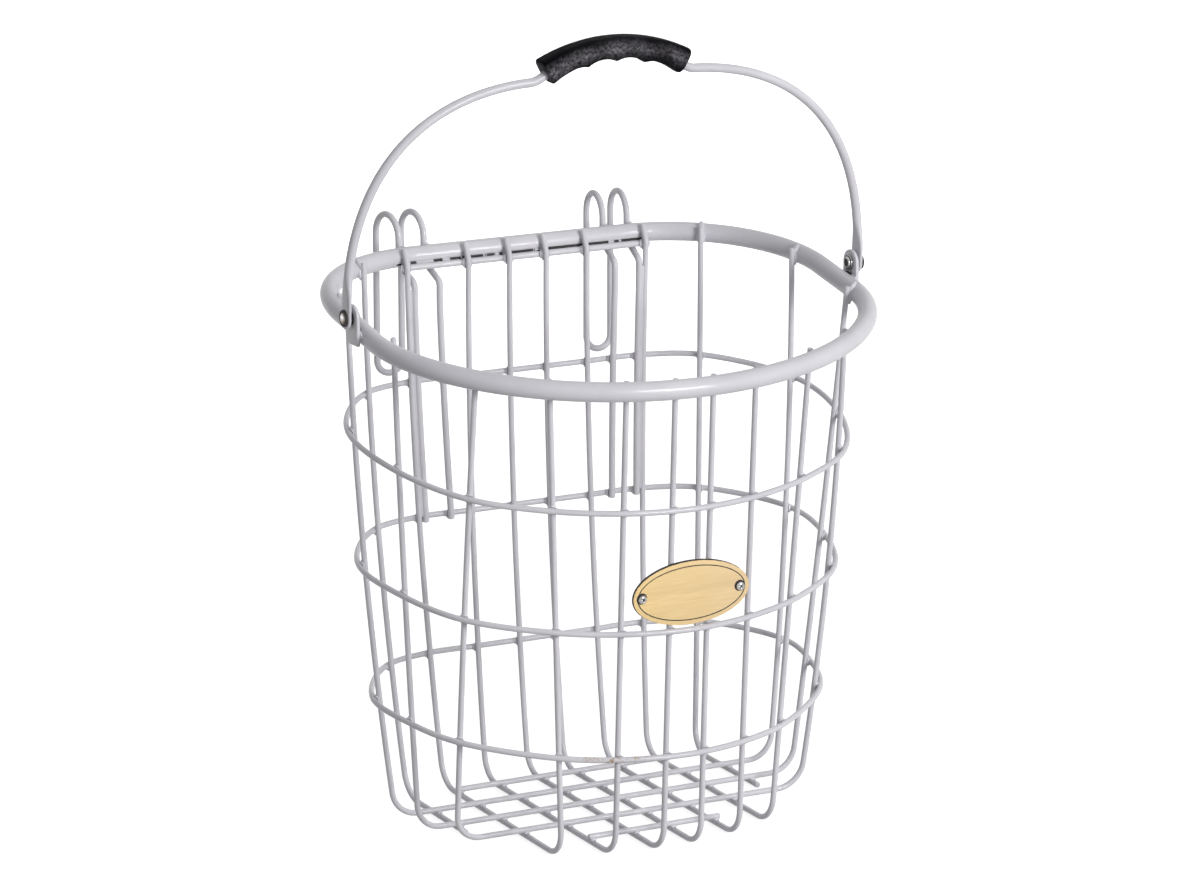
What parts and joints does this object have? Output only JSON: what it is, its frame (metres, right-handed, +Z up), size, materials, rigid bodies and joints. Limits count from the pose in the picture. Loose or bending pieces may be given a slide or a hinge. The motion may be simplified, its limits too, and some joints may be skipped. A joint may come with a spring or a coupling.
{
  "type": "wire pannier basket",
  "caption": "D-shaped welded wire basket with a tube rim, rack hooks on its flat back, a swinging bail handle with a moulded grip and a plain oval badge.",
  "frame": {"origin": "at floor level, under the middle of the object's bounding box", "axes": "+Z up, +Y towards the flat back that hangs on a rack, +X to the right seen from the round front"},
  "size_m": [0.3774, 0.2971, 0.5136],
  "materials": {
    "paint": "semi-gloss powder coat",
    "steel": "bright plated",
    "rubber": "satin, fine grain",
    "brass": "brushed"
  },
  "bodies": {
    "basket": {"rim_tube": "paint", "back_rod": "paint", "upper_hoop": "paint", "middle_hoop": "paint", "lower_hoop": "paint", "cage_wire_1": "paint", "cage_wire_2": "paint", "cage_wire_3": "paint", "cage_wire_4": "paint", "cage_wire_5": "paint", "cage_wire_6": "paint", "corner_wire_left": "paint", "corner_wire_right": "paint", "cross_wire_rear": "paint", "cross_wire_middle": "paint", "cross_wire_front": "paint", "rear_floor_rod": "paint", "front_floor_rod": "paint", "left_hook": "paint", "right_hook": "paint", "left_tab": "paint", "right_tab": "paint", "badge_backing_strip": "paint", "left_inner_washer": "steel", "left_spacer": "steel", "left_rivet": "steel", "right_inner_washer": "steel", "right_spacer": "steel", "right_rivet": "steel", "badge_rivet_left": "steel", "badge_rivet_right": "steel", "badge_plate": "brass"},
    "handle": {"bail_wire": "paint", "grip": "rubber"}
  },
  "joints": [
    {"name": "handle_swing", "type": "hinge", "parent": "basket", "child": "handle", "pos_m": [0, -0.0168, 0.348], "axis": [1, 0, 0], "range_deg": [-75, 94]}
  ]
}
